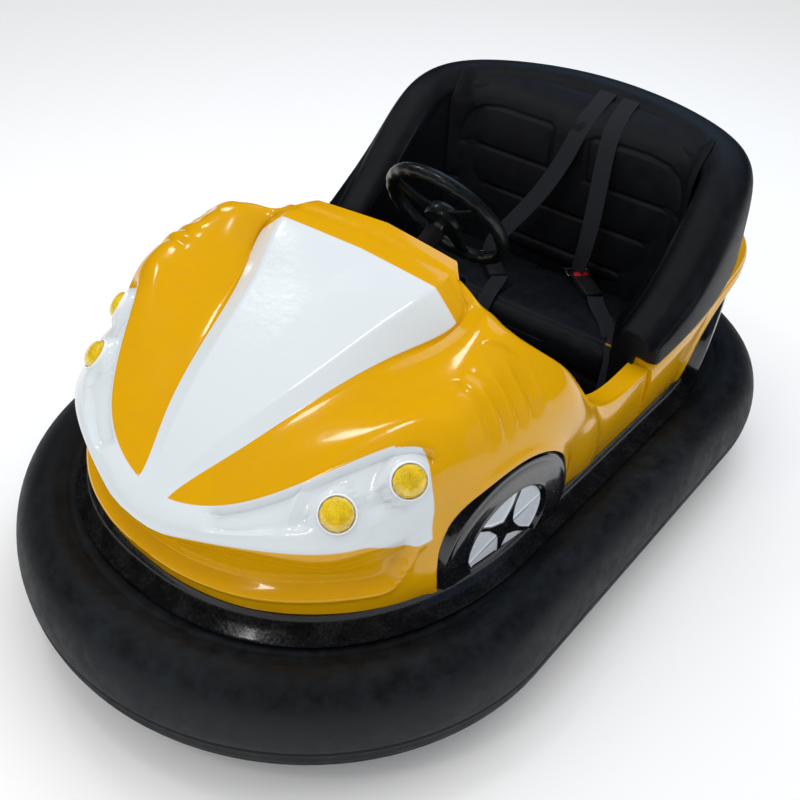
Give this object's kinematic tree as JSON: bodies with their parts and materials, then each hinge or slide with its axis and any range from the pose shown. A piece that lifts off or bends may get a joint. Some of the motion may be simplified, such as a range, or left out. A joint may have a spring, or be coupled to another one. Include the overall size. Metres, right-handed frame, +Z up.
{
  "type": "bumper car",
  "caption": "Battery bumper car with a sports-car glass-fibre body, padded bench, steering wheel, driven swivel wheel and a rubber bumper tyre all round.",
  "frame": {"origin": "on the floor, under the middle of the bumper tyre", "axes": "+Z up, -Y to the front of the car, +X to the driver's left"},
  "size_m": [1.2, 1.9, 0.806],
  "materials": {
    "body_paint": "gloss gel coat, yellow with white panels",
    "bumper_rubber": "matt black moulded rubber, dusty",
    "gloss_black": "gloss black, scuffed",
    "amber_lens": "clear amber, faceted",
    "red_lens": "clear red, faceted",
    "black_lining": "satin black",
    "black_vinyl": "stitched black vinyl with a fine grain",
    "mat_rubber": "ribbed black rubber",
    "zinc_steel": "zinc plated",
    "battery_case": "moulded black case",
    "grey_webbing": "woven dark grey webbing",
    "grip_black": "satin black moulded grip",
    "painted_steel": "black paint on steel, chipped at edges",
    "motor_grey": "grey paint",
    "cast_rim": "as cast",
    "wheel_tyre": "solid black rubber"
  },
  "bodies": {
    "chassis": {"front_body": "body_paint", "rear_body": "body_paint", "bumper_tyre": "bumper_rubber", "trim_band": "gloss_black", "front_left_disc": "gloss_black", "front_right_disc": "gloss_black", "rear_left_disc": "gloss_black", "rear_right_disc": "gloss_black", "left_inner_lamp": "amber_lens", "left_outer_lamp": "amber_lens", "right_inner_lamp": "amber_lens", "right_outer_lamp": "amber_lens", "left_tail_lamp": "red_lens", "right_tail_lamp": "red_lens", "seat_base": "black_lining", "seat_cushion": "black_vinyl", "seat_back": "black_vinyl", "seat_surround": "black_vinyl", "dash_panel": "black_lining", "floor_mat": "mat_rubber", "foot_pedal": "zinc_steel", "battery_block": "battery_case", "left_belt": "grey_webbing", "right_belt": "grey_webbing", "left_buckle": "gloss_black", "right_buckle": "gloss_black", "steering_column": "black_lining", "chassis_pan": "painted_steel", "tyre_rim": "painted_steel", "swivel_mount": "painted_steel", "rear_axle": "zinc_steel", "left_axle_hanger": "painted_steel", "right_axle_hanger": "painted_steel"},
    "steering": {"steering_wheel": "grip_black", "steering_shaft": "zinc_steel"},
    "drive_unit": {"drive_fork": "painted_steel", "drive_motor": "motor_grey"},
    "drive_wheel": {"drive_hub": "cast_rim", "drive_tyre": "wheel_tyre"},
    "left_rear_wheel": {"left_rear_hub": "cast_rim", "left_rear_tyre": "wheel_tyre"},
    "right_rear_wheel": {"right_rear_hub": "cast_rim", "right_rear_tyre": "wheel_tyre"}
  },
  "joints": [
    {"name": "drive_swivel", "type": "hinge", "parent": "chassis", "child": "drive_unit", "pos_m": [0, -0.47, 0.236], "axis": [0, 0, 1], "continuous": true},
    {"name": "drive_wheel_spin", "type": "hinge", "parent": "drive_unit", "child": "drive_wheel", "pos_m": [0, -0.47, 0.105], "axis": [1, 0, 0], "continuous": true},
    {"name": "steering_turn", "type": "hinge", "parent": "chassis", "child": "steering", "pos_m": [0, 0.04, 0.664], "axis": [0, 0.8388, 0.5444], "continuous": true},
    {"name": "left_rear_spin", "type": "hinge", "parent": "chassis", "child": "left_rear_wheel", "pos_m": [0.3, 0.405, 0.1], "axis": [1, 0, 0], "continuous": true},
    {"name": "right_rear_spin", "type": "hinge", "parent": "chassis", "child": "right_rear_wheel", "pos_m": [-0.3, 0.405, 0.1], "axis": [1, 0, 0], "continuous": true}
  ],
  "couplings": [
    {"joint": "steering_turn", "follows": "drive_swivel", "ratio": 1}
  ]
}
